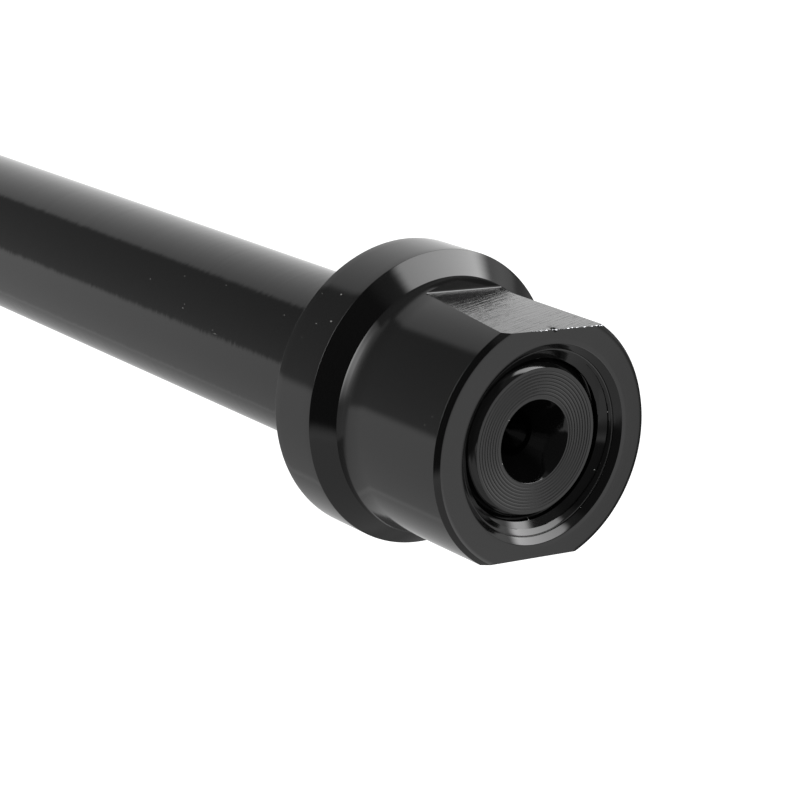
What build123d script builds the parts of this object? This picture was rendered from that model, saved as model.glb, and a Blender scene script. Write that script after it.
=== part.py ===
from build123d import *
import math
import os

# Bicycle thru axle: a turned shaft with a flanged head screwed fast on one end.
# Millimetres. The origin is the centre of the shaft's lower tip, and +Z runs along the axle to the head.
# The head's two milled flats face -X and +X.

# Shaft
shaft_diameter = 12.0           # runs in a 12 mm hub bore
grip_length = 160.0             # from the shaft's tip to the flange's seat
tip_thread_diameter = 11.8      # outside of the M12 thread, whose turns are left off
tip_thread_length = 18.0
tip_chamfer = 0.8
tip_run_out = 1.0               # length of the taper from the thread up to the plain shaft

# Screwed end of the shaft, seen inside the head's mouth
end_setback = 0.9               # from the head's end face down to the shaft's end
end_face_diameter = 9.7
end_chamfer_angle = 45.0

# Centre hole in the shaft's end
centre_mouth_diameter = 5.45
centre_cone_angle = 60.0        # across the cone
centre_pilot_diameter = 3.0
centre_pilot_depth = 3.5        # straight part below the cone
centre_point_angle = 118.0      # across the drilled point

# Head
head_diameter = 16.9
head_length = 15.2              # from the flange's seat to the end face
head_end_round = 0.3
flange_diameter = 20.0
flange_thickness = 3.8          # width of the flange's rim
flange_edge_break = 0.12
cone_angle = 45.0               # slope of the flange's front face from the axis
neck_diameter = 17.4            # where that slope ends
neck_length = 0.85              # slight taper from there down to the head's own diameter

# Head's bore
mouth_diameter = 13.0           # countersink at the end face
mouth_angle = 45.0
tapped_diameter = 10.7          # core of the fine M12 tapped bore, whose turns are left off
thread_clearance = 0.03         # between the screwed end and the tapped bore, on the radius
pilot_depth = 2.5               # plain counterbore at the flange's seat
pilot_clearance = 0.03          # the counterbore is wider than the shaft by this, on the radius
relief_diameter = 11.4          # the shaft's narrower stretch inside the counterbore

# Milled flats
flat_width_across = 14.8        # across both flats at the end face
flat_rise = 0.35                # each flat is this much shallower at its inner end
flat_length = 9.1

# Radii and heights that follow from the sizes above
shaft_radius = shaft_diameter / 2
tip_radius = tip_thread_diameter / 2
tapped_radius = tapped_diameter / 2
relief_radius = relief_diameter / 2
screwed_radius = tapped_radius - thread_clearance
end_face_radius = end_face_diameter / 2
head_radius = head_diameter / 2
flange_radius = flange_diameter / 2
neck_radius = neck_diameter / 2
mouth_radius = mouth_diameter / 2

seat_height = grip_length
shoulder_height = seat_height + pilot_depth
rim_height = seat_height + flange_thickness
neck_height = rim_height + (flange_radius - neck_radius) / math.tan(math.radians(cone_angle))
neck_end_height = neck_height + neck_length
end_height = seat_height + head_length
shaft_end_height = end_height - end_setback
end_chamfer_height = (screwed_radius - end_face_radius) / math.tan(math.radians(end_chamfer_angle))
mouth_depth = (mouth_radius - tapped_radius) / math.tan(math.radians(mouth_angle))
centre_cone_depth = (centre_mouth_diameter - centre_pilot_diameter) / 2
centre_cone_depth /= math.tan(math.radians(centre_cone_angle / 2))
centre_point_depth = centre_pilot_diameter / 2 / math.tan(math.radians(centre_point_angle / 2))


def turned(*outline):
    """A solid of revolution about Z, from the (radius, height) corners of half its section."""
    with BuildPart() as blank:
        with BuildSketch(Plane.XZ):
            with BuildLine():
                Polyline(*outline, close=True)
            make_face()
        revolve(axis=Axis.Z)
    return blank.part


def axle_shaft():
    """The shaft: a chamfered threaded tip, a plain grip and the end that screws into the head."""
    bar = turned(
        (0, 0),
        (tip_radius - tip_chamfer, 0),
        (tip_radius, tip_chamfer),
        (tip_radius, tip_thread_length),
        (shaft_radius, tip_thread_length + tip_run_out),
        (shaft_radius, seat_height),
        (relief_radius, seat_height),
        (relief_radius, shoulder_height),
        (screwed_radius, shoulder_height),
        (screwed_radius, shaft_end_height - end_chamfer_height),
        (end_face_radius, shaft_end_height),
        (0, shaft_end_height),
    )
    cone_foot = shaft_end_height - centre_cone_depth
    pilot_foot = cone_foot - centre_pilot_depth
    centre_hole = turned(
        (0, shaft_end_height),
        (centre_mouth_diameter / 2, shaft_end_height),
        (centre_pilot_diameter / 2, cone_foot),
        (centre_pilot_diameter / 2, pilot_foot),
        (0, pilot_foot - centre_point_depth),
    )
    return bar - centre_hole


def flanged_head():
    """The head: flange, sloped front face and neck, countersunk tapped bore and two milled flats."""
    blank = turned(
        (tapped_radius, shoulder_height),
        (shaft_radius + pilot_clearance, shoulder_height),
        (shaft_radius + pilot_clearance, seat_height),
        (flange_radius, seat_height),
        (flange_radius, rim_height),
        (neck_radius, neck_height),
        (head_radius, neck_end_height),
        (head_radius, end_height),
        (mouth_radius, end_height),
        (tapped_radius, end_height - mouth_depth),
    )
    with BuildPart() as head:
        add(blank)
        rounds = head.edges().filter_by(GeomType.CIRCLE)
        head_end = rounds.filter_by(lambda e: math.isclose(e.radius, head_radius)).sort_by(Axis.Z)[-1]
        rims = rounds.filter_by(lambda e: math.isclose(e.radius, flange_radius))
        fillet(head_end, head_end_round)
        chamfer(rims, flange_edge_break)
        with BuildSketch(Plane.XZ):
            with BuildLine():
                Polyline(
                    (flat_width_across / 2, end_height),
                    (flat_width_across / 2 + flat_rise, end_height - flat_length),
                    (flange_radius, end_height - flat_length),
                    (flange_radius, end_height),
                    close=True,
                )
            make_face()
            mirror(about=Plane.YZ)
        extrude(amount=flange_radius, both=True, mode=Mode.SUBTRACT)
    return head.part


nodes = {
    "axle_shaft": axle_shaft(),
    "flanged_head": flanged_head(),
}

os.makedirs("parts", exist_ok=True)
for name, solid in nodes.items():
    export_step(solid, f"parts/{name}.step")
    print(name, round(solid.volume, 1), "mm3", solid.bounding_box().size)
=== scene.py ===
"""A bicycle thru axle in black anodised aluminium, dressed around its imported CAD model.

The axle stands on its threaded tip. Its shaft and its flanged head each replace the CAD node of the same
name, with the broken edges, tool marks, thread turns and burrs that the plain solids leave off. Sizes in the
classes are millimetres; meshes are metres.
"""
import logging
import math
from dataclasses import dataclass
from enum import IntEnum
from random import Random
from typing import Any, Callable, Sequence

import bmesh
import bpy
import numpy as np
from mathutils import Matrix, Vector


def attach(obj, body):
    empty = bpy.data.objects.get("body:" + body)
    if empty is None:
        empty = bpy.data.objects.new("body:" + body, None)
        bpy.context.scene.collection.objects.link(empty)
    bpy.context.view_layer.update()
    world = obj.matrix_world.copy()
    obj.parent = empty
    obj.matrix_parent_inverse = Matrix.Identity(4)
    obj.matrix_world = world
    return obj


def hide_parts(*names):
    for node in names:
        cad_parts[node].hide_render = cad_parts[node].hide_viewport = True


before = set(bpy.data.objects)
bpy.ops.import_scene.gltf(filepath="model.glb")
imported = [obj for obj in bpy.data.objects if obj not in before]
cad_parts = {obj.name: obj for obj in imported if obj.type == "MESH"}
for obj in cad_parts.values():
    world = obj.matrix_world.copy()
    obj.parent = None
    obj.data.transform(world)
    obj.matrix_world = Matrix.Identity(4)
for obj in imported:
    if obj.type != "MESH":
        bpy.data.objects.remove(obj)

MM = 0.001
BODY = "root"
# Edges whose faces turn by more than this stay sharp.
SHARP_ANGLE = math.radians(19.5)
# Points nearer to each other than this, in metres, are one point.
MERGE_DISTANCE = 2e-8
# Shares of a thread's pitch: half the width of its crest, and the length of one flank.
HALF_CREST = 1 / 16
FLANK = 5 / 16
# A profile along the axis or across it: millimetres in, millimetres out.
Profile = Callable[[np.ndarray], np.ndarray]
Tree = bpy.types.NodeTree
Node = bpy.types.Node
Material = bpy.types.Material
Piece = bpy.types.Object

log = logging.getLogger("thru_axle")


# Turned shapes

class ToolMark(IntEnum):
    """How the cutter went over a surface, which gives its fine lines and its place in a piece's finishes.

    TURNED is lines around the axis, FACED is rings on an end, MILLED is straight strokes across a flat.
    """

    TURNED = 0
    FACED = 1
    MILLED = 2


@dataclass(frozen=True)
class Corner:
    """One corner of a turned outline.

    Attributes:
        radius: Distance from the axis, in millimetres.
        height: Height above the tip, in millimetres.
        round: Radius of the broken or filleted edge, in millimetres.
        mark: Tool mark on the wall from this corner to the next.
        rings: How many bands that wall is divided into.
    """

    radius: float
    height: float
    round: float = 0.0
    mark: ToolMark = ToolMark.TURNED
    rings: int = 1


@dataclass(frozen=True)
class Ring:
    """One ring of an outline: its radius and height in millimetres, and the mark on the band after it."""

    radius: float
    height: float
    mark: ToolMark


def rounded(corners: Sequence[Corner], steps: int = 6) -> list[Ring]:
    """Turns corners into rings, with an arc at each inner corner that has a radius.

    Args:
        corners: The outline's corners in order.
        steps: Bands in each arc.

    Returns:
        The rings in order.
    """
    points = [Vector((c.radius, c.height)) for c in corners]
    arcs: list[list[Ring]] = []
    for i, corner in enumerate(corners):
        here = points[i]
        if corner.round <= 0 or i in (0, len(corners) - 1):
            arcs.append([Ring(here.x, here.y, corner.mark)])
            continue
        back = (points[i - 1] - here).normalized()
        ahead = (points[i + 1] - here).normalized()
        half = back.angle(ahead) / 2
        centre = here + (back + ahead).normalized() * (corner.round / math.sin(half))
        first = here + back * (corner.round / math.tan(half))
        last = here + ahead * (corner.round / math.tan(half))
        sweep = (last - centre).angle_signed(first - centre)
        arc = []
        for k in range(steps):
            turned = Matrix.Rotation(sweep * k / steps, 2) @ (first - centre) + centre
            arc.append(Ring(turned.x, turned.y, corner.mark))
        arcs.append(arc + [Ring(last.x, last.y, corner.mark)])
    rings: list[Ring] = []
    for i, (corner, arc) in enumerate(zip(corners, arcs)):
        rings += arc
        for k in range(1, corner.rings):
            start, stop, share = arc[-1], arcs[i + 1][0], k / corner.rings
            rings.append(Ring(
                start.radius + (stop.radius - start.radius) * share,
                start.height + (stop.height - start.height) * share,
                corner.mark,
            ))
    return rings


@dataclass(frozen=True)
class ScrewThread:
    """A right-hand metric thread of 60 degrees.

    Attributes:
        pitch: Rise of one turn, in millimetres.
        core: Smaller radius.
        outside: Larger radius.
        reference: Height at which the middle of the wide part stands at the reference azimuth.
        azimuth: That azimuth, in degrees.
        levels: Points along one pitch.
    """

    pitch: float
    core: float
    outside: float
    reference: float
    azimuth: float
    levels: int

    def shift(self, angles: np.ndarray) -> np.ndarray:
        """Height of the wide part's middle at each angle, in millimetres."""
        return self.reference + (angles - math.radians(self.azimuth)) / (2 * math.pi) * self.pitch

    def radii(self, heights: np.ndarray, angles: np.ndarray) -> np.ndarray:
        """Radius of the thread's surface.

        Args:
            heights: Height of each point, in millimetres.
            angles: Angle of each point, in radians.

        Returns:
            The radius of each point, in millimetres.
        """
        along = (heights - self.shift(angles)) / self.pitch
        away = np.abs(along - np.round(along))
        rise = np.clip((HALF_CREST + FLANK - away) / FLANK, 0.0, 1.0)
        return self.core + (self.outside - self.core) * rise

    def rows(self, low: float, high: float, angles: np.ndarray) -> list[np.ndarray]:
        """Heights of the rows between two levels, which follow the helix but for steps of one level.

        Args:
            low: Height of the lower end, in millimetres.
            high: Height of the upper end.
            angles: Angle of each column, in radians.

        Returns:
            One array of heights for each row, from low to high.
        """
        step = self.pitch / self.levels
        shift = self.shift(angles)
        count = int((high - low) / step)
        return [
            shift + np.round((low + j * step - shift) / step) * step for j in range(1, count)
        ]

    def steps_down(self, low: float, angles: np.ndarray) -> set[int]:
        """Columns after which every row moves to the next level down."""
        step = self.pitch / self.levels
        level = np.round((low - self.shift(angles)) / step)
        following = np.roll(level, -1)
        following[-1] += self.levels
        return {i for i, (a, b) in enumerate(zip(level, following)) if a != b}


class Skin:
    """A mesh made of rows of points around the axis, each row joined to the one before it."""

    def __init__(self, columns: int) -> None:
        """Starts an empty skin.

        Args:
            columns: Number of points in each full row.
        """
        self.columns = columns
        self.vertices: list[tuple[float, float, float]] = []
        self.faces: list[tuple[int, ...]] = []
        self.marks: list[ToolMark] = []
        self.first: list[int] | None = None
        self.last: list[int] | None = None

    def add(
        self,
        points: np.ndarray,
        mark: ToolMark = ToolMark.TURNED,
        splits: set[int] | None = None,
        falling: bool = False,
    ) -> None:
        """Adds a row and the band that joins it to the row before.

        Args:
            points: Rows of x, y, z in millimetres; a single one is a pole.
            mark: Tool mark on the band.
            splits: Columns whose face is cut along the diagonal that follows a thread.
            falling: Whether the rows go down instead of up.
        """
        start = len(self.vertices)
        self.vertices += [tuple(float(v) * MM for v in p) for p in points]
        row = list(range(start, start + len(points)))
        if self.last is not None:
            self.join(self.last, row, mark, splits or set(), falling)
        self.first = self.first or row
        self.last = row

    def join(
        self, a: list[int], b: list[int], mark: ToolMark, splits: set[int], falling: bool = False
    ) -> None:
        """Joins two rows with faces.

        Args:
            a: Vertex numbers of the first row.
            b: Vertex numbers of the second row.
            mark: Tool mark on the band.
            splits: Columns whose face is cut along the thread's diagonal.
            falling: Whether the second row is the lower one, which turns that diagonal round.
        """
        for i in range(self.columns):
            k = (i + 1) % self.columns
            if len(a) == 1:
                new = [(a[0], b[i], b[k])]
            elif len(b) == 1:
                new = [(a[i], b[0], a[k])]
            elif i in splits and falling:
                new = [(a[i], b[i], a[k]), (b[i], b[k], a[k])]
            elif i in splits:
                new = [(a[i], b[i], b[k]), (a[i], b[k], a[k])]
            else:
                new = [(a[i], b[i], b[k], a[k])]
            self.faces += new
            self.marks += [mark] * len(new)

    def close(self) -> None:
        """Joins the last row to the first."""
        self.join(self.last, self.first, ToolMark.TURNED, set())

    def build(self, name: str, finishes: Sequence[Material]) -> Piece:
        """Makes the Blender object.

        Args:
            name: Name of the piece.
            finishes: Materials, in the order of ToolMark.

        Returns:
            The object, at the origin, with smooth faces and sharp corners kept.
        """
        mesh = bpy.data.meshes.new(name)
        mesh.from_pydata(self.vertices, [], self.faces)
        mesh.polygons.foreach_set("material_index", self.marks)
        for material in finishes:
            mesh.materials.append(material)
        shape = bmesh.new()
        shape.from_mesh(mesh)
        bmesh.ops.remove_doubles(shape, verts=shape.verts, dist=MERGE_DISTANCE)
        bmesh.ops.recalc_face_normals(shape, faces=shape.faces)
        for face in shape.faces:
            face.smooth = True
        shape.to_mesh(mesh)
        shape.free()
        mesh.set_sharp_from_angle(angle=SHARP_ANGLE)
        piece = add_object(name, mesh)
        weighted = piece.modifiers.new("even_faces", "WEIGHTED_NORMAL")
        weighted.keep_sharp = True
        return piece


def add_object(name: str, data: bpy.types.ID) -> Piece:
    """Adds an object to the scene."""
    item = bpy.data.objects.new(name, data)
    bpy.context.scene.collection.objects.link(item)
    return item


def circle(radius: np.ndarray | float, heights: np.ndarray | float, angles: np.ndarray) -> np.ndarray:
    """Points around the axis.

    Args:
        radius: Radius of each point or of all, in millimetres.
        heights: Height of each point or of all.
        angles: Angle of each point, in radians.

    Returns:
        Rows of x, y, z in millimetres.
    """
    ones = np.ones(len(angles))
    return np.stack([radius * np.cos(angles), radius * np.sin(angles), heights * ones], axis=1)


# Materials

def new_tree(data: Material | bpy.types.World) -> Tree:
    """Gives a material or world an empty node tree."""
    data.use_nodes = True
    data.node_tree.nodes.clear()
    return data.node_tree


def linear(code: str) -> tuple[float, float, float, float]:
    """Turns an sRGB hex colour such as #1a2b3c into Blender's linear colour."""
    values = [int(code[i:i + 2], 16) / 255 for i in (1, 3, 5)]
    red, green, blue = (v / 12.92 if v <= 0.04045 else ((v + 0.055) / 1.055) ** 2.4 for v in values)
    return red, green, blue, 1.0


def add_node(tree: Tree, kind: str, inputs: dict | None = None, **settings: Any) -> Node:
    """Adds a node with its settings, values and links.

    Args:
        tree: The tree that it goes into.
        kind: Blender's name of the node's type, without ShaderNode.
        inputs: Socket name or number, to a value or to the output that is linked to it.
        **settings: Attributes of the node.

    Returns:
        The node.
    """
    node = tree.nodes.new("ShaderNode" + kind)
    for key, value in settings.items():
        setattr(node, key, value)
    for key, value in (inputs or {}).items():
        socket = node.inputs[key]
        if isinstance(value, Node):
            value = value.outputs[0]
        if isinstance(value, bpy.types.NodeSocket):
            tree.links.new(value, socket)
        else:
            socket.default_value = value
    return node


@dataclass(frozen=True)
class BlackAnodised:
    """Aluminium with a dyed and sealed anodic film.

    The film is a clear, hard oxide over a black dye, so the eye gets an almost black body and a crisp,
    uncoloured reflection that grows at a grazing angle, as on glass. The tool's lines stay under the film:
    they draw the reflection out a little and fray the edges of what is reflected.

    Attributes:
        name: Name of the material.
        mark: Direction of the tool's lines.
        colour: The dye's sRGB colour.
        ior: Refractive index of the sealed film.
        roughness: Roughness of the reflection.
        uneven: How much the roughness changes along the surface.
        patches: Number of cloudy patches in a metre.
        feed: Spacing of the tool's lines in millimetres.
        stroke: Length over which one line stays the same, in millimetres.
        depth: Depth of the lines in millimetres.
        sway: How far each line leans around the axis, as a slope.
        slant: Angle between milling strokes and the flat's width, in degrees.
    """

    name: str
    mark: ToolMark
    colour: str = "#060606"
    ior: float = 1.54
    roughness: float = 0.09
    uneven: float = 0.02
    patches: float = 260.0
    feed: float = 0.14
    stroke: float = 9.0
    depth: float = 0.0004
    sway: float = 0.05
    slant: float = 24.0

    def lines(self, tree: Tree) -> Node:
        """Adds the coordinates in which the tool's lines are long one way and narrow the other.

        Args:
            tree: The material's tree.

        Returns:
            The node whose output is that vector.
        """
        place = add_node(tree, "TexCoord").outputs["Object"]
        across, along = 1 / (self.feed * MM), 1 / (self.stroke * MM)
        if self.mark is ToolMark.TURNED:
            return add_node(tree, "Mapping", {"Vector": place, "Scale": (along, along, across)})
        if self.mark is ToolMark.MILLED:
            turn = (math.radians(self.slant), 0, 0)
            level = add_node(tree, "Mapping", {"Vector": place, "Rotation": turn})
            return add_node(tree, "Mapping", {"Vector": level, "Scale": (along, along, across)})
        parts = add_node(tree, "SeparateXYZ", {0: place})
        flat = add_node(tree, "CombineXYZ", {"X": parts.outputs["X"], "Y": parts.outputs["Y"]})
        radius = add_node(tree, "VectorMath", {0: flat}, operation="LENGTH").outputs["Value"]
        polar = add_node(tree, "CombineXYZ", {"X": parts.outputs["X"], "Y": parts.outputs["Y"], "Z": radius})
        return add_node(tree, "Mapping", {"Vector": polar, "Scale": (along, along, across)})

    def make(self) -> Material:
        """Builds the material.

        Returns:
            The material.
        """
        material = bpy.data.materials.new(self.name)
        tree = new_tree(material)
        grooves = add_node(tree, "TexNoise", {
            "Vector": self.lines(tree), "Scale": 1.0, "Detail": 3.0, "Roughness": 0.6,
        })
        bump_inputs = {"Strength": 1.0, "Distance": self.depth * MM, "Height": grooves.outputs["Fac"]}
        if self.mark is ToolMark.TURNED:
            # Each turn of the tool leans a little another way, which frays the edges of the reflected cards.
            lean = add_node(tree, "MapRange", {
                "Value": grooves.outputs["Fac"], "From Min": 0.3, "From Max": 0.7,
                "To Min": -self.sway, "To Max": self.sway,
            })
            normal = add_node(tree, "NewGeometry").outputs["Normal"]
            upright = (0.0, 0.0, 1.0)
            around = add_node(tree, "VectorMath", {0: normal, 1: upright}, operation="CROSS_PRODUCT")
            shift = add_node(tree, "VectorMath", {
                0: around, "Scale": lean.outputs["Result"],
            }, operation="SCALE")
            leant = add_node(tree, "VectorMath", {0: normal, 1: shift}, operation="ADD")
            bump_inputs["Normal"] = add_node(tree, "VectorMath", {0: leant}, operation="NORMALIZE")
        bump = add_node(tree, "Bump", bump_inputs)
        place = add_node(tree, "TexCoord").outputs["Object"]
        # Cloudy patches of about 4 mm, where the sealed film is a little duller.
        clouds = add_node(tree, "TexNoise", {"Vector": place, "Scale": self.patches, "Detail": 4.0})
        rough = add_node(tree, "MapRange", {
            "Value": clouds.outputs["Fac"], "From Min": 0.3, "From Max": 0.7,
            "To Min": self.roughness - self.uneven, "To Max": self.roughness + self.uneven,
        })
        surface = add_node(tree, "BsdfPrincipled", {
            "Base Color": linear(self.colour),
            "Metallic": 0.0,
            "IOR": self.ior,
            "Roughness": rough.outputs["Result"],
            "Normal": bump.outputs["Normal"],
        })
        add_node(tree, "OutputMaterial", {"Surface": surface})
        return material


@dataclass(frozen=True)
class PlainFinish:
    """A finish of one colour with a fine grain in its roughness.

    Attributes:
        name: Name of the material.
        colour: The sRGB colour.
        roughness: Middle of its roughness.
        metallic: 1 for bare metal, 0 for anything else.
        grains: Number of grains in a metre.
    """

    name: str
    colour: str
    roughness: float
    metallic: float
    grains: float = 20000.0

    def make(self) -> Material:
        """Builds the material.

        Returns:
            The material.
        """
        material = bpy.data.materials.new(self.name)
        tree = new_tree(material)
        place = add_node(tree, "TexCoord").outputs["Object"]
        # Grains of about 0.05 mm.
        grain = add_node(tree, "TexNoise", {"Vector": place, "Scale": self.grains})
        rough = add_node(tree, "MapRange", {
            "Value": grain.outputs["Fac"],
            "To Min": self.roughness - 0.1, "To Max": min(1.0, self.roughness + 0.1),
        })
        surface = add_node(tree, "BsdfPrincipled", {
            "Base Color": linear(self.colour),
            "Metallic": self.metallic,
            "Roughness": rough.outputs["Result"],
        })
        add_node(tree, "OutputMaterial", {"Surface": surface})
        return material


# The axle

@dataclass
class AxleShaft:
    """The shaft: a threaded tip, a plain turned grip and the end that screws into the head.

    Lengths are millimetres and stand for the same sizes as in the CAD part.
    """

    radius: float = 6.0
    tip_radius: float = 5.9
    tip_chamfer: float = 0.8
    tip_rings: int = 14
    thread_top: float = 18.0
    thread_core: float = 5.36
    thread_fade: float = 1.2
    run_out: float = 1.0
    seat: float = 160.0
    relief_radius: float = 5.7
    shoulder: float = 162.5
    screwed_radius: float = 5.32
    end: float = 174.3
    end_radius: float = 4.81
    end_shift: tuple[float, float] = (-0.01, 0.06)
    centre_mouth: float = 2.725
    centre_half_angle: float = 30.0
    centre_pilot: float = 1.5
    pilot_depth: float = 3.5
    point_half_angle: float = 59.0
    facing_feed: float = 0.212
    facing_depth: float = 0.008
    facing_rows: int = 12
    # Outside this radius the face falls away, by the droop for each square millimetre.
    droop_from: float = 4.1
    face_droop: float = 0.012
    columns: int = 232

    def tip_thread(self) -> ScrewThread:
        """The M12 x 1 thread on the tip."""
        return ScrewThread(
            pitch=1.0, core=self.thread_core, outside=self.tip_radius, reference=1.3, azimuth=0.0, levels=10,
        )

    def tip_outline(self, heights: np.ndarray) -> np.ndarray:
        """Largest radius at a height near the tip, where the chamfer cuts the thread."""
        return np.minimum(self.tip_radius, self.tip_radius - self.tip_chamfer + heights)

    def grow(self, skin: Skin) -> None:
        """Adds every row of the shaft, from the tip's centre to the bottom of the centre hole.

        Args:
            skin: The skin that takes the rows.
        """
        angles = np.linspace(0, 2 * math.pi, self.columns, endpoint=False)
        thread = self.tip_thread()
        skin.add(np.zeros((1, 3)), ToolMark.FACED)
        for radius in np.linspace(0.4, self.tip_radius - self.tip_chamfer, self.tip_rings):
            skin.add(circle(radius, 0.0, angles), ToolMark.FACED)
        splits = thread.steps_down(0.0, angles)
        for heights in thread.rows(0.0, self.thread_top, angles):
            fade = np.clip((self.thread_top - 0.2 - heights) / self.thread_fade, 0.0, 1.0)
            turns = self.tip_radius - (self.tip_radius - thread.radii(heights, angles)) * fade
            radii = np.minimum(turns, self.tip_outline(heights))
            skin.add(circle(radii, heights, angles), splits=splits)
        cone = (self.centre_mouth - self.centre_pilot) / math.tan(math.radians(self.centre_half_angle))
        pilot_foot = self.end - cone - self.pilot_depth
        point = self.centre_pilot / math.tan(math.radians(self.point_half_angle))
        chamfer = self.screwed_radius - self.end_radius
        upper = rounded([
            Corner(self.tip_radius, self.thread_top),
            Corner(self.radius, self.thread_top + self.run_out, rings=24),
            Corner(self.radius, self.seat, 0.03, rings=2),
            Corner(self.relief_radius, self.seat, 0.02),
            Corner(self.relief_radius, self.shoulder, 0.05),
            Corner(self.screwed_radius, self.shoulder, 0.02, rings=8),
            Corner(self.screwed_radius, self.end - chamfer, 0.03, rings=4),
            Corner(self.end_radius, self.end, 0.05, ToolMark.FACED),
        ], steps=6)
        for ring in upper[:-1]:
            share = 1.0 if ring.height > self.end - 0.1 else 0.0
            skin.add(self.off_centre(ring.radius, ring.height, angles, share), ring.mark)
        skin.add(self.off_centre(self.end_radius - 0.05, self.end, angles, 1.0))
        self.face_end(skin, angles)
        hole = rounded([
            Corner(self.centre_mouth + 0.05, self.end),
            Corner(self.centre_mouth, self.end, 0.05, rings=8),
            Corner(self.centre_pilot, self.end - cone, 0.06, rings=6),
            Corner(self.centre_pilot, pilot_foot, 0.05, rings=4),
            Corner(0.02, pilot_foot - point),
        ], steps=5)
        for ring in hole[1:]:
            skin.add(circle(ring.radius, ring.height, angles))
        skin.add(np.array([[0.0, 0.0, pilot_foot - point - 0.01]]))

    def off_centre(self, radius: float, height: float, angles: np.ndarray, share: float) -> np.ndarray:
        """One row of the end, whose chamfer was cut a little off the bar's axis.

        Args:
            radius: Radius of the row, in millimetres.
            height: Its height.
            angles: Angle of each column, in radians.
            share: How much of the chamfer's offset the row takes.

        Returns:
            Rows of x, y, z in millimetres.
        """
        return circle(radius, height, angles) + share * np.array([*self.end_shift, 0.0])

    def face_end(self, skin: Skin, angles: np.ndarray) -> None:
        """Adds the faced end, whose tool left a shallow scallop for each turn of its feed.

        Args:
            skin: The skin that takes the rows.
            angles: Angle of each column, in radians.
        """
        start, stop = self.end_radius - 0.1, self.centre_mouth + 0.06
        count = int((start - stop) / self.facing_feed * self.facing_rows)
        for k in range(count + 1):
            radius = start + (stop - start) * k / count
            beat = ((start - radius) / self.facing_feed) % 1.0
            cusp = abs(2 * beat - 1) ** 2.5
            edge = min(1.0, 8 * k / count, 8 * (count - k) / count)
            droop = self.face_droop * max(0.0, radius - self.droop_from) ** 2
            height = self.end - self.facing_depth * (1 - cusp) * edge - droop
            share = (radius - stop) / (start - stop)
            skin.add(self.off_centre(radius, height, angles, share), ToolMark.FACED)

    def build(self, turned: Material, faced: Material) -> Piece:
        """Builds and dresses the shaft.

        Args:
            turned: Finish of the turned walls.
            faced: Finish of the ends.

        Returns:
            The piece.
        """
        skin = Skin(self.columns)
        self.grow(skin)
        piece = skin.build("shaft_dressed", [turned, faced])
        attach(piece, BODY)
        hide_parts("axle_shaft")
        return piece


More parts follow.
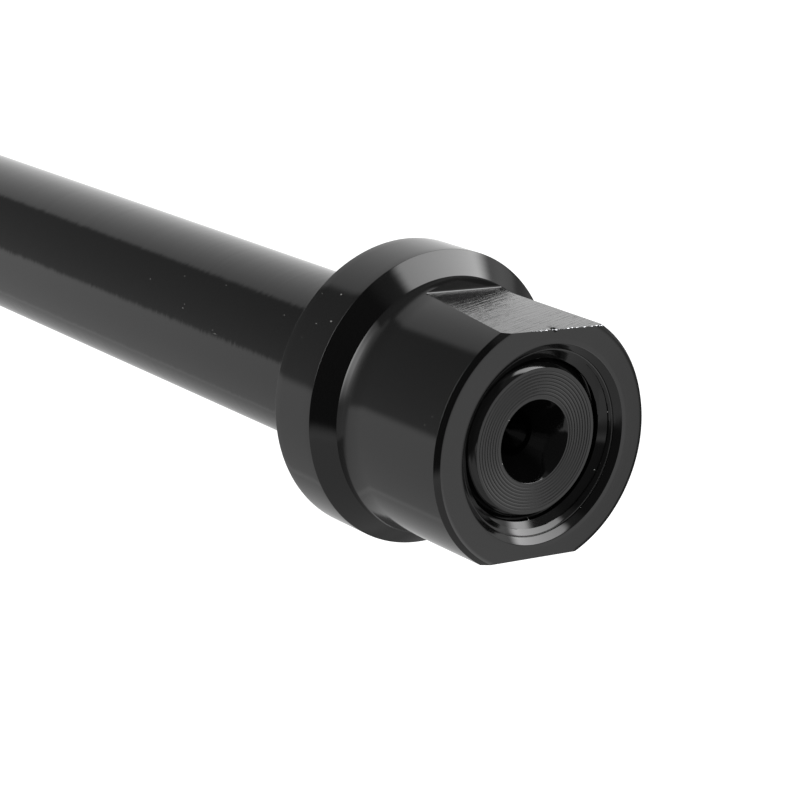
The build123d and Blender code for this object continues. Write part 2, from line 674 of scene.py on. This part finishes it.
@dataclass
class FlangedHead:
    """The head: flange with a sloped front face, neck, two milled flats and a countersunk tapped bore.

    Lengths are millimetres and stand for the same sizes as in the CAD part. The flange's pairs, along X and
    Y, are how far its rim runs out of true and the slope of its front. Each pair of the neck is a rise at its
    corner and the length over which that falls away. The flats' rise is how much shallower they are at the
    ledge, their twist is how much that changes per millimetre across, and the slant is the ledge's slope.
    """

    seat: float = 160.0
    end: float = 175.2
    radius: float = 8.45
    end_chamfer: float = 0.28
    chamfer_height: float = 0.34
    flange_radius: float = 10.0
    flange_top: float = 163.8
    flange_shift: tuple[float, float] = (-0.225, 0.02)
    flange_tilt: tuple[float, float] = (-0.014, -0.009)
    neck_radius: float = 8.7
    neck_blend: tuple[float, float] = (0.21, 2.2)
    neck_fillet: tuple[float, float] = (0.04, 0.45)
    bore_radius: float = 6.03
    shoulder: float = 162.5
    tapped_radius: float = 5.35
    thread_radius: float = 5.86
    mouth_radius: float = 6.5
    mouth_slope: float = 1.11
    step_radius: float = 6.05
    step_depth: float = 0.045
    thread_edge: float = 5.93
    thread_foot: float = 172.5
    thread_fade: float = 0.8
    flat_width: float = 7.4
    flat_rise: float = 0.42
    flat_twist: float = 0.03
    flat_length: float = 9.5
    flat_reach: float = 4.2
    ledge_slant: float = 0.12
    root_round: float = 0.15
    nick_at: tuple[float, float] = (0.02, 175.2)
    nick_size: tuple[float, float, float] = (0.32, 0.5, 0.2)
    flat_columns: int = 80
    arc_columns: int = 128

    @property
    def neck(self) -> float:
        """Height of the corner where the sloped face ends and the neck begins."""
        return self.flange_top + self.flange_radius - self.neck_radius

    def turned_radius(self, heights: np.ndarray) -> np.ndarray:
        """Radius of the neck and of the plain head above it, at each height."""
        radius = self.radius
        for rise, length in (self.neck_blend, self.neck_fillet):
            radius = radius + rise * np.clip(1 - (heights - self.neck) / length, 0.0, 1.0) ** 2
        return radius

    def ledge(self, across: np.ndarray) -> np.ndarray:
        """Height of the ledge at the inner end of the flats, which the cutter left a little out of square.

        Args:
            across: Place of each point along Y, in millimetres.

        Returns:
            The height of each point.
        """
        place = np.clip(across, -self.flat_reach, self.flat_reach)
        return self.end - self.flat_length - self.ledge_slant * place

    def flat_at(self, heights: np.ndarray, across: np.ndarray) -> np.ndarray:
        """Distance of the flats from the axis, with the cutter's round corner at the ledge.

        Args:
            heights: Height of each point, in millimetres.
            across: Place of each point along Y.

        Returns:
            The distance of each point.
        """
        rise_here = self.flat_rise - self.flat_twist * across
        plain = self.flat_width + rise_here * (self.end - heights) / self.flat_length
        rise = np.clip(self.root_round - (heights - self.ledge(across)), 0.0, self.root_round)
        return plain + self.root_round - np.sqrt(self.root_round ** 2 - rise ** 2)

    def clipped(self, level: Profile, radius: Profile, uncut: bool = False) -> np.ndarray:
        """One row of the outside where the flats cut it.

        Args:
            level: Gives the row's height at each place along Y, in millimetres.
            radius: Gives the radius of the turned wall at each height.
            uncut: Whether the row runs on round the turned wall, with its points where the flats will cut.

        Returns:
            Rows of x, y, z in millimetres.
        """
        reach = np.array([-3.3, 3.3])
        for _ in range(8):
            heights = level(reach)
            wide = self.flat_at(heights, reach)
            reach = np.sqrt(radius(heights) ** 2 - wide ** 2) * np.array([-1, 1])
        left, right = np.arctan2(reach, wide)
        chord = np.linspace(reach[0], reach[1], self.flat_columns, endpoint=False)
        back = np.linspace(reach[1], reach[0], self.flat_columns, endpoint=False)
        near = np.linspace(right, math.pi - right, self.arc_columns, endpoint=False)
        far = np.linspace(math.pi - left, 2 * math.pi + left, self.arc_columns, endpoint=False)
        rows = []
        for side, flat, arc in ((1, chord, near), (-1, back, far)):
            heights = level(flat)
            if uncut:
                x = side * np.sqrt(radius(heights) ** 2 - flat ** 2)
            else:
                x = side * self.flat_at(heights, flat)
            if side < 0 and not uncut:
                x += self.nick(flat, heights)
            rows.append(np.stack([x, flat, heights], axis=1))
            heights = level(self.radius * np.sin(arc))
            rows.append(circle(radius(heights), heights, arc))
        return np.concatenate(rows)

    def nick(self, across: np.ndarray, heights: np.ndarray) -> np.ndarray:
        """Depth of the small nick in the flat's front edge.

        Args:
            across: Place of each point along the edge, in millimetres.
            heights: Height of each point.

        Returns:
            How far each point is pushed in.
        """
        half, tall, deep = self.nick_size
        side = np.clip(1 - np.abs(across - self.nick_at[0]) / half, 0.0, 1.0)
        return deep * side * np.clip(1 - (self.nick_at[1] - heights) / tall, 0.0, 1.0)

    def shifted(self, ring: Ring, angles: np.ndarray) -> np.ndarray:
        """One row of the flange, which runs out of true by a little, as its outline in the photograph does.

        Args:
            ring: The ring.
            angles: Angle of each column, in radians.

        Returns:
            Rows of x, y, z in millimetres.
        """
        inner = self.neck_radius if ring.height > self.seat + 0.1 else self.bore_radius
        share = min(1.0, max(0.0, (ring.radius - inner) / (self.flange_radius - inner)))
        points = circle(ring.radius, ring.height, angles)
        if ring.height > self.seat + 1.0:
            points[:, 2] += share * (points[:, 0] * self.flange_tilt[0] + points[:, 1] * self.flange_tilt[1])
        points[:, 0] += self.flange_shift[0] * share
        points[:, 1] += self.flange_shift[1] * share
        return points

    def mouth_thread(self) -> ScrewThread:
        """The fine thread in the bore, whose groove first cuts the countersink at 120 degrees."""
        return ScrewThread(
            pitch=1.0, core=self.tapped_radius, outside=self.thread_radius,
            reference=self.mouth_height(self.thread_radius) - 0.02, azimuth=120.5, levels=32,
        )

    def mouth_height(self, radius: float) -> float:
        """Height at which the countersink has a given radius."""
        return self.end - (self.mouth_radius - radius) / self.mouth_slope

    def countersink(self, heights: np.ndarray) -> np.ndarray:
        """Radius of the countersink at each height, or of the tapped bore below it."""
        return np.maximum(self.tapped_radius, self.mouth_radius - (self.end - heights) * self.mouth_slope)

    def grow(self, skin: Skin) -> None:
        """Adds every row of the head, from the bore's shoulder round the outside and back down the bore.

        Args:
            skin: The skin that takes the rows.
        """
        start = self.neck + 0.04
        uncut = self.clipped(self.ledge, self.turned_radius, uncut=True)
        angles = np.arctan2(uncut[:, 1], uncut[:, 0])
        outside = rounded([
            Corner(self.bore_radius, self.shoulder, rings=4),
            Corner(self.bore_radius, self.seat, 0.06, ToolMark.FACED, 6),
            Corner(self.flange_radius, self.seat, 0.08, rings=6),
            Corner(self.flange_radius, self.flange_top, 0.05, rings=6),
            Corner(self.neck_radius, self.neck, 0.03, rings=4),
            Corner(float(self.turned_radius(np.array([start]))[0]), start),
        ], steps=8)
        skin.add(circle(self.tapped_radius, self.shoulder, angles))
        for ring in outside:
            skin.add(self.shifted(ring, angles), ring.mark)
        for t in np.linspace(0, 1, 13)[1:]:
            heights = start + (uncut[:, 2] - start) * t
            skin.add(circle(self.turned_radius(heights), heights, angles))
        cut = self.clipped(self.ledge, self.turned_radius)
        for t in (0.25, 0.5, 0.75, 1.0):
            skin.add(uncut + (cut - uncut) * t)
        for k in range(1, 7):
            lift = self.root_round * (1 - math.cos(math.pi * k / 12))
            skin.add(self.clipped(lambda y: self.ledge(y) + lift, self.turned_radius))
        top = self.end - self.chamfer_height
        for t in np.linspace(0, 1, 41)[1:]:
            skin.add(self.clipped(
                lambda y: (self.ledge(y) + self.root_round) * (1 - t) + (top - 0.05) * t,
                self.turned_radius,
            ))
        collar = rounded([
            Corner(self.radius, top - 0.05),
            Corner(self.radius, top, 0.03, rings=3),
            Corner(self.radius - self.end_chamfer, self.end, 0.012, ToolMark.FACED),
            Corner(self.mouth_radius, self.end),
        ], steps=3)
        for ring in collar[1:-1]:
            skin.add(self.level_row(ring))
        rim = self.level_row(collar[-2])
        step, step_height = self.step_radius, self.mouth_height(self.step_radius)
        mouth = rounded([
            Corner(self.mouth_radius + 0.3, self.end, mark=ToolMark.FACED),
            Corner(self.mouth_radius, self.end, 0.08, rings=3),
            Corner(step + 0.04, step_height + 0.04, 0.01),
            Corner(step + 0.02, step_height - self.step_depth, 0.01),
            Corner(step - self.step_depth, step_height - self.step_depth, 0.01),
            Corner(self.thread_edge, self.mouth_height(self.thread_edge)),
        ], steps=4)
        inner = circle(mouth[0].radius, self.end, angles)
        for t in np.linspace(0, 1, 7)[1:]:
            skin.add(rim + (inner - rim) * t, ToolMark.FACED)
        for ring in mouth[1:]:
            skin.add(circle(ring.radius, ring.height, angles))
        self.tap(skin, angles)
        skin.close()

    def level_row(self, ring: Ring) -> np.ndarray:
        """One level row of the outside where the flats cut it."""
        return self.clipped(
            lambda y: np.full(np.shape(y), ring.height), lambda z: np.full(np.shape(z), ring.radius),
        )

    def tap(self, skin: Skin, angles: np.ndarray) -> None:
        """Adds the threaded stretch of the bore and the plain core below it.

        Args:
            skin: The skin that takes the rows.
            angles: Angle of each column, in radians.
        """
        thread = self.mouth_thread()
        high, low = self.mouth_height(self.thread_edge), self.thread_foot
        splits = thread.steps_down(low, angles)
        for heights in reversed(thread.rows(low, high, angles)):
            fade = np.clip((heights - low - 0.3) / self.thread_fade, 0.0, 1.0)
            groove = self.tapped_radius + (thread.radii(heights, angles) - self.tapped_radius) * fade
            radii = np.maximum(groove, self.countersink(heights))
            skin.add(circle(radii, heights, angles), splits=splits, falling=True)
        for height in np.linspace(low, self.shoulder, 6)[:-1]:
            skin.add(circle(self.tapped_radius, height, angles))

    def dress(self, piece: Piece) -> None:
        """Gives the two flats the milled finish, by where their faces stand.

        Args:
            piece: The head.
        """
        for face in piece.data.polygons:
            x, y, z = (v / MM for v in face.center)
            if abs(face.normal.x) > 0.97 and z > float(self.ledge(np.array(y))) + self.root_round:
                if abs(abs(x) - float(self.flat_at(np.array(z), np.array(y)))) < 0.15:
                    face.material_index = ToolMark.MILLED

    def build(
        self, turned: Material, faced: Material, milled: Material
    ) -> Piece:
        """Builds and dresses the head.

        Args:
            turned: Finish of the turned walls.
            faced: Finish of the end and of the flange's seat.
            milled: Finish of the two flats.

        Returns:
            The piece.
        """
        skin = Skin(2 * (self.flat_columns + self.arc_columns))
        self.grow(skin)
        piece = skin.build("head_dressed", [turned, faced, milled])
        self.dress(piece)
        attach(piece, BODY)
        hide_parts("flanged_head")
        return piece


@dataclass
class Crumbs:
    """A scatter of tiny closed lumps that lie on the surface, such as burrs, dust or pale specks painted as
    glints.

    Attributes:
        name: Name of the piece.
        slot: The record's material slot; not used.
        seed: Seed of their shapes.
    """

    name: str
    slot: str
    seed: int

    def build(self, lumps: Sequence[tuple[Vector, Vector]], material: Material) -> Piece:
        """Builds the piece.

        Args:
            lumps: Middle and half size of each lump, in millimetres.
            material: Its material.

        Returns:
            The piece.
        """
        chance = Random(self.seed)
        shape = bmesh.new()
        for middle, half in lumps:
            made = bmesh.ops.create_icosphere(shape, subdivisions=1, radius=1.0)
            for vertex in made["verts"]:
                swell = chance.uniform(0.6, 1.2)
                vertex.co = (middle + Vector(a * b * swell for a, b in zip(vertex.co, half))) * MM
        mesh = bpy.data.meshes.new(self.name)
        shape.to_mesh(mesh)
        shape.free()
        mesh.materials.append(material)
        piece = add_object(self.name, mesh)
        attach(piece, BODY)
        return piece


def at_azimuth(radius: float, azimuth: float, height: float) -> Vector:
    """The point at a radius, an azimuth in degrees and a height."""
    angle = math.radians(azimuth)
    return Vector((radius * math.cos(angle), radius * math.sin(angle), height))


def edge_burrs(head: FlangedHead) -> list[tuple[Vector, Vector]]:
    """Places the torn burrs along the front edge of the flat that faces -X.

    Args:
        head: The head that they sit on.

    Returns:
        Middle and half size of each burr, in millimetres.
    """
    chance = Random(11)
    # Place along the edge and size of each burr that shows.
    seen = [
        (-1.8, 0.06), (-1.1, 0.08), (-0.7, 0.05), (-0.2, 0.06), (0.12, 0.09), (0.3, 0.05), (1.4, 0.05),
        (2.4, 0.07), (3.0, 0.06), (3.4, 0.07), (3.8, 0.06),
    ]
    marks = [(across, size * 1.35) for across, size in seen]
    marks += [(chance.uniform(-1.9, 3.9), chance.uniform(0.03, 0.06)) for _ in range(34)]
    lumps = []
    for across, size in marks:
        middle = Vector((-head.flat_width + 0.01, across, head.end - chance.uniform(0.0, 0.05)))
        lumps.append((middle, Vector((size * 0.6, size * chance.uniform(0.8, 1.8), size * 0.7))))
    return lumps


def dust_and_glints(head: FlangedHead, shaft: AxleShaft) -> list[tuple[Vector, Vector]]:
    """Places the specks of dust where the photograph shows them, and two pale specks that are painted glints
    on the centre hole's rim.

    Args:
        head: The head.
        shaft: The shaft.

    Returns:
        Middle and half size of each speck, in millimetres.
    """
    radii = {"shaft": shaft.radius, "rim": head.flange_radius, "head": head.radius}
    # Wall, azimuth in degrees, height, width and length of each speck.
    specks = [
        ("shaft", -128.9, 139.97, 0.05, 0.05), ("shaft", -110.8, 141.65, 0.05, 0.05),
        ("shaft", -107.9, 141.6, 0.05, 0.14), ("shaft", -118.2, 136.3, 0.06, 0.06),
        ("shaft", -128.3, 152.85, 0.09, 0.07), ("shaft", -133.5, 144.97, 0.05, 0.08),
        ("shaft", -99.8, 146.3, 0.03, 0.2), ("shaft", -101.5, 145.9, 0.02, 0.16),
        ("shaft", -117.0, 155.0, 0.03, 0.22), ("rim", -121.4, 161.94, 0.06, 0.06),
        ("rim", -124.1, 163.2, 0.1, 0.08), ("rim", -133.0, 160.67, 0.04, 0.05),
        ("rim", -135.2, 162.37, 0.1, 0.05), ("rim", -114.7, 161.28, 0.04, 0.05),
        ("head", -105.9, 174.0, 0.04, 0.04), ("head", -101.5, 173.5, 0.04, 0.04),
        ("head", -143.4, 165.9, 0.06, 0.06),
    ]
    lumps = []
    for place, azimuth, height, wide, tall in specks:
        middle = at_azimuth(radii[place], azimuth, height)
        if place == "rim":
            middle.x += head.flange_shift[0]
        lumps.append((middle, Vector((wide * 0.6, wide * 0.6, tall))))
    # Radius, azimuth, height and size of each speck inside the mouth. The last two, at radius 2.8 on the
    # centre hole's rim, are painted glints: pale matt specks standing in for highlights. The others are dust.
    inside_mouth = [
        (5.3, 4.4, 173.9, 0.05), (5.85, 104.4, 174.55, 0.05), (5.7, 65.3, 174.4, 0.05),
        # These two specks on the centre hole's rim are painted glints, not dust.
        (6.1, 40.3, 174.8, 0.04), (2.8, -124.8, 174.3, 0.05), (2.8, -64.7, 174.3, 0.06),
    ]
    for radius, azimuth, height, size in inside_mouth:
        lumps.append((at_azimuth(radius, azimuth, height), Vector((size, size, size))))
    return lumps


# The studio

@dataclass(frozen=True)
class Panel:
    """A card or soft box that stands far off in the studio and shows only in reflections.

    Attributes:
        start: Direction of one side, in degrees from +X towards +Y.
        stop: Direction of the other side.
        low: Elevation of its lower edge, in degrees.
        high: Elevation of its upper edge.
        level: Brightness at the first side, where 1 is white.
        level_to: Brightness at the other side, if it differs.
        soft: Width of its soft sides, in degrees.
        soft_high: Width of its soft upper edge, in degrees.
        soft_low: Width of its soft lower edge.
    """

    start: float
    stop: float
    low: float
    high: float
    level: float
    level_to: float | None = None
    soft: float = 8.0
    soft_high: float = 5.0
    soft_low: float = 5.0


@dataclass
class Sky:
    """The white room as reflections see it, with the nodes that know a ray's direction.

    Attributes:
        tree: The world's tree.
        azimuth: Node with the ray's azimuth in radians.
        elevation: Node with its elevation in radians.
    """

    tree: Tree
    azimuth: Node
    elevation: Node

    def off(self, panel: Panel) -> Node:
        """Adds the ray's angle from a panel's middle, in radians."""
        middle = math.radians((panel.start + panel.stop) / 2)
        angle = add_node(self.tree, "Math", {0: self.azimuth, 1: middle}, operation="SUBTRACT")
        return add_node(self.tree, "Math", {0: angle, 1: math.pi, 2: -math.pi}, operation="WRAP")

    def edge(self, angle: Node, place: float, soft: float, rising: bool) -> Node:
        """Adds one soft edge of a panel.

        Args:
            angle: Node with the ray's angle in radians.
            place: Angle of the edge's middle, in degrees.
            soft: Width of the edge in degrees.
            rising: Whether the mask is 1 past the edge, or else before it.

        Returns:
            The node whose output goes between 0 and 1.
        """
        before, past = (0.0, 1.0) if rising else (1.0, 0.0)
        return add_node(self.tree, "MapRange", {
            "Value": angle,
            "From Min": math.radians(place - soft / 2), "From Max": math.radians(place + soft / 2),
            "To Min": before, "To Max": past,
        }, interpolation_type="SMOOTHSTEP")

    def mask(self, panel: Panel) -> Node:
        """Adds the nodes that are 1 inside a panel and 0 outside it.

        Args:
            panel: The panel.

        Returns:
            The node whose output is the mask.
        """
        half = (panel.stop - panel.start) / 2
        away = add_node(self.tree, "Math", {0: self.off(panel)}, operation="ABSOLUTE")
        sides = self.edge(away, half, panel.soft, rising=False)
        above = self.edge(self.elevation, panel.low, panel.soft_low, rising=True)
        below = self.edge(self.elevation, panel.high, panel.soft_high, rising=False)
        upright = add_node(self.tree, "Math", {0: above, 1: below}, operation="MULTIPLY")
        return add_node(self.tree, "Math", {0: sides, 1: upright}, operation="MULTIPLY")

    def lay(self, panel: Panel, under: Node | float) -> Node:
        """Lays a panel over what is there.

        Args:
            panel: The panel.
            under: Brightness of what is there, or the node that gives it.

        Returns:
            The node whose output is the new brightness.
        """
        own: Node | float = panel.level
        if panel.level_to is not None:
            half = math.radians((panel.stop - panel.start) / 2)
            own = add_node(self.tree, "MapRange", {
                "Value": self.off(panel), "From Min": -half, "From Max": half,
                "To Min": panel.level, "To Max": panel.level_to,
            })
        return add_node(self.tree, "Mix", {
            "Factor": self.mask(panel), 2: under, 3: own,
        }, data_type="FLOAT")


@dataclass
class Studio:
    """The plain pale floor, the white surroundings with their cards, and the soft lamp.

    Each panel lies over the ones before it.
    """

    floor_half: float = 8.0
    floor_colour: str = "#e8e8e8"
    diffuse_level: float = 0.75
    floor_lift: float = 0.45
    panels: tuple[Panel, ...] = (
        Panel(start=118, stop=200, low=-95, high=-38, level=1.0, level_to=0.52, soft=2, soft_high=4),
        Panel(start=-83, stop=-5, low=-95, high=-38, level=0.85, level_to=0.45, soft_high=4),
        Panel(start=-5, stop=70, low=-95, high=-38, level=0.47, level_to=0.7, soft_high=4),
        Panel(start=-165, stop=-83, low=-95, high=-38, level=0.17, level_to=0.33, soft_high=4),
        Panel(start=92, stop=132, low=-46.5, high=-38, level=1.35, soft_high=4),
        Panel(start=-180, stop=180, low=-38, high=-2, level=0.2, soft=0.1, soft_high=6, soft_low=4),
        Panel(start=135, stop=200, low=-40.5, high=-36, level=0.17, soft=6, soft_high=2, soft_low=2.5),
        Panel(start=20, stop=96, low=-18, high=-2, level=0.28, soft=10, soft_high=6, soft_low=6),
        Panel(start=48, stop=96, low=-44, high=-18, level=0.1, soft=12, soft_high=12, soft_low=3),
        Panel(start=-180, stop=180, low=38, high=66, level=0.16, soft=0.1, soft_high=10, soft_low=8),
        Panel(start=-48, stop=12, low=42, high=60, level=0.6, soft=14, soft_high=8, soft_low=6),
        Panel(
            start=-58, stop=40, low=-12, high=44, level=0.6, level_to=0.4, soft=12, soft_high=8, soft_low=10,
        ),
        Panel(start=40, stop=98, low=-4, high=34, level=0.3, soft=16, soft_high=8, soft_low=8),
        Panel(start=98, stop=123, low=-4.5, high=12, level=0.6, soft_high=8),
        Panel(start=166, stop=212, low=0, high=42, level=0.2, soft=6, soft_high=6, soft_low=4),
        Panel(start=-93, stop=-58, low=-37, high=4, level=0.45, soft=4, soft_low=4),
        Panel(start=-150.5, stop=-91, low=-37, high=2, level=0.62, soft=4, soft_low=4),
        Panel(start=-136, stop=-99, low=-34, high=2, level=2.9, soft=34, soft_low=8),
        Panel(start=-136, stop=-99, low=-14, high=2, level=6.5, soft=34, soft_low=10),
        Panel(start=-172, stop=-60, low=5, high=84, level=0.06, soft=12, soft_high=6, soft_low=4),
        Panel(start=108, stop=126, low=-1, high=40, level=0.8, soft=12),
        Panel(start=121.5, stop=169.5, low=-1, high=40, level=6.4, level_to=4.1, soft=9),
        Panel(start=145, stop=300, low=57, high=84, level=0.08, soft=10, soft_high=6),
        Panel(start=36, stop=80, low=38, high=57, level=1.0, soft=10, soft_high=8, soft_low=6),
        Panel(start=32, stop=60, low=38, high=54, level=1.8, soft_high=6, soft_low=6),
        Panel(start=20, stop=110, low=60, high=95, level=1.6, soft=10, soft_high=4, soft_low=8),
        Panel(start=58, stop=82, low=22, high=43, level=0.15, soft_low=8),
    )

    def seen(self, tree: Tree) -> Node:
        """Adds the node that is 1 for rays from the eye, also by way of a reflection or through glass."""
        path = add_node(tree, "LightPath")
        seen = add_node(tree, "Math", {
            0: path.outputs["Is Camera Ray"], 1: path.outputs["Is Glossy Ray"],
        }, operation="ADD")
        return add_node(tree, "Math", {
            0: seen, 1: path.outputs["Is Transmission Ray"],
        }, operation="ADD", use_clamp=True)

    def floor(self) -> Piece:
        """Builds the floor: white to the eye, but it keeps the axle's shadow."""
        shape = bmesh.new()
        bmesh.ops.create_grid(shape, x_segments=1, y_segments=1, size=self.floor_half)
        mesh = bpy.data.meshes.new("floor")
        shape.to_mesh(mesh)
        shape.free()
        plane = add_object("floor", mesh)
        material = bpy.data.materials.new("painted_table")
        tree = new_tree(material)
        lift = add_node(tree, "Math", {0: self.seen(tree), 1: self.floor_lift}, operation="MULTIPLY")
        matt = add_node(tree, "BsdfDiffuse", {"Color": linear(self.floor_colour)})
        glow = add_node(tree, "Emission", {"Color": (1, 1, 1, 1), "Strength": lift})
        both = add_node(tree, "AddShader", {0: matt, 1: glow})
        add_node(tree, "OutputMaterial", {"Surface": both})
        mesh.materials.append(material)
        plane.visible_glossy = False
        return plane

    def surroundings(self) -> None:
        """Builds the world: plain white to the eye, with the cards and soft boxes in reflections only."""
        world = bpy.data.worlds.new("white_room")
        bpy.context.scene.world = world
        tree = new_tree(world)
        direction = add_node(tree, "TexCoord").outputs["Generated"]
        parts = add_node(tree, "SeparateXYZ", {0: direction})
        azimuth = add_node(tree, "Math", {0: parts.outputs["Y"], 1: parts.outputs["X"]}, operation="ARCTAN2")
        elevation = add_node(tree, "Math", {0: parts.outputs["Z"]}, operation="ARCSINE")
        sky = Sky(tree, azimuth, elevation)
        level: Node | float = 1.0
        for panel in self.panels:
            level = sky.lay(panel, level)
        path = add_node(tree, "LightPath")
        shown = add_node(tree, "Mix", {
            "Factor": path.outputs["Is Glossy Ray"], 2: 1.0, 3: level,
        }, data_type="FLOAT")
        strength = add_node(tree, "Mix", {
            "Factor": self.seen(tree), 2: self.diffuse_level, 3: shown,
        }, data_type="FLOAT")
        light = add_node(tree, "Background", {"Color": (1, 1, 1, 1), "Strength": strength})
        add_node(tree, "OutputWorld", {"Surface": light})

    def lamp(self) -> Piece:
        """Adds the large soft lamp overhead, which gives the axle its shadow on the floor."""
        light = bpy.data.lights.new("soft_lamp", "AREA")
        light.shape = "DISK"
        light.size = 1.2
        light.energy = 12.0
        lamp = add_object("soft_lamp", light)
        lamp.location = (-0.7, 0.9, 1.5)
        lamp.rotation_euler = (Vector((0, 0, 0.1)) - lamp.location).to_track_quat("-Z", "Y").to_euler()
        lamp.visible_glossy = False
        return lamp

    def build(self) -> None:
        """Builds the whole studio."""
        self.floor()
        self.surroundings()
        self.lamp()


@dataclass(frozen=True)
class PhotoCamera:
    """The camera, as fitted to the circles and outlines in the photograph.

    Attributes:
        place: Position in metres.
        right: Direction of the picture's right.
        up: Direction of the picture's top.
        lens: Focal length in millimetres on a 36 mm sensor.
    """

    place: tuple[float, float, float] = (-0.03810, -0.09458, 0.28147)
    right: tuple[float, float, float] = (-0.07682, 0.79780, 0.59802)
    up: tuple[float, float, float] = (-0.96638, 0.08804, -0.24159)
    lens: float = 106.23

    def build(self) -> Piece:
        """Adds the camera and makes it the scene's own."""
        data = bpy.data.cameras.new("photo_camera")
        data.sensor_width = 36.0
        data.lens = self.lens
        data.clip_start = 0.01
        camera = add_object("photo_camera", data)
        right, up = Vector(self.right).normalized(), Vector(self.up).normalized()
        back = right.cross(up)
        turn = Matrix((right, up, back)).transposed().to_4x4()
        camera.matrix_world = Matrix.Translation(self.place) @ turn
        bpy.context.scene.camera = camera
        return camera


def main() -> None:
    """Builds the camera, the studio and the axle's pieces in order, and reports each."""
    logging.basicConfig(level=logging.INFO, format="%(name)s: %(message)s")
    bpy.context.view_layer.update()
    bpy.context.scene.view_settings.view_transform = "Standard"
    PhotoCamera().build()
    Studio().build()
    drawn = BlackAnodised(
        "drawn_black_anodised_aluminium", ToolMark.TURNED, roughness=0.08, feed=0.12, sway=0.022,
    ).make()
    turned = BlackAnodised("turned_black_anodised_aluminium", ToolMark.TURNED, sway=0.003).make()
    faced = BlackAnodised("faced_black_anodised_aluminium", ToolMark.FACED, roughness=0.12).make()
    milled = BlackAnodised(
        "milled_black_anodised_aluminium", ToolMark.MILLED, roughness=0.15, feed=0.17, stroke=4.0, depth=0.04,
    ).make()
    # Torn aluminium that the black film doesn't cover: bright, rather rough, and it glints at an edge.
    torn = PlainFinish("torn_bare_aluminium", "#dcdde0", roughness=0.35, metallic=1.0).make()
    # Dust and lint from the bench, and two painted glints on the centre hole's rim: matt, pale grey specks
    # that stand out on the black film.
    lint_and_glints = PlainFinish("pale_lint_and_glints", "#9a9a98", roughness=0.9, metallic=0.0).make()
    shaft, head = AxleShaft(), FlangedHead()
    pieces = [
        shaft.build(drawn, faced),
        head.build(turned, faced, milled),
        Crumbs("edge_burrs", "head", seed=5).build(edge_burrs(head), torn),
        # Real dust and lint, plus two pale specks that are painted glints on the centre hole's rim.
        Crumbs("dust_and_glint_specks", "head", seed=9).build(dust_and_glints(head, shaft), lint_and_glints),
    ]
    for piece in pieces:
        log.info("%s: %d faces", piece.name, len(piece.data.polygons))
    bpy.context.view_layer.update()


if __name__ == "__main__":
    main()
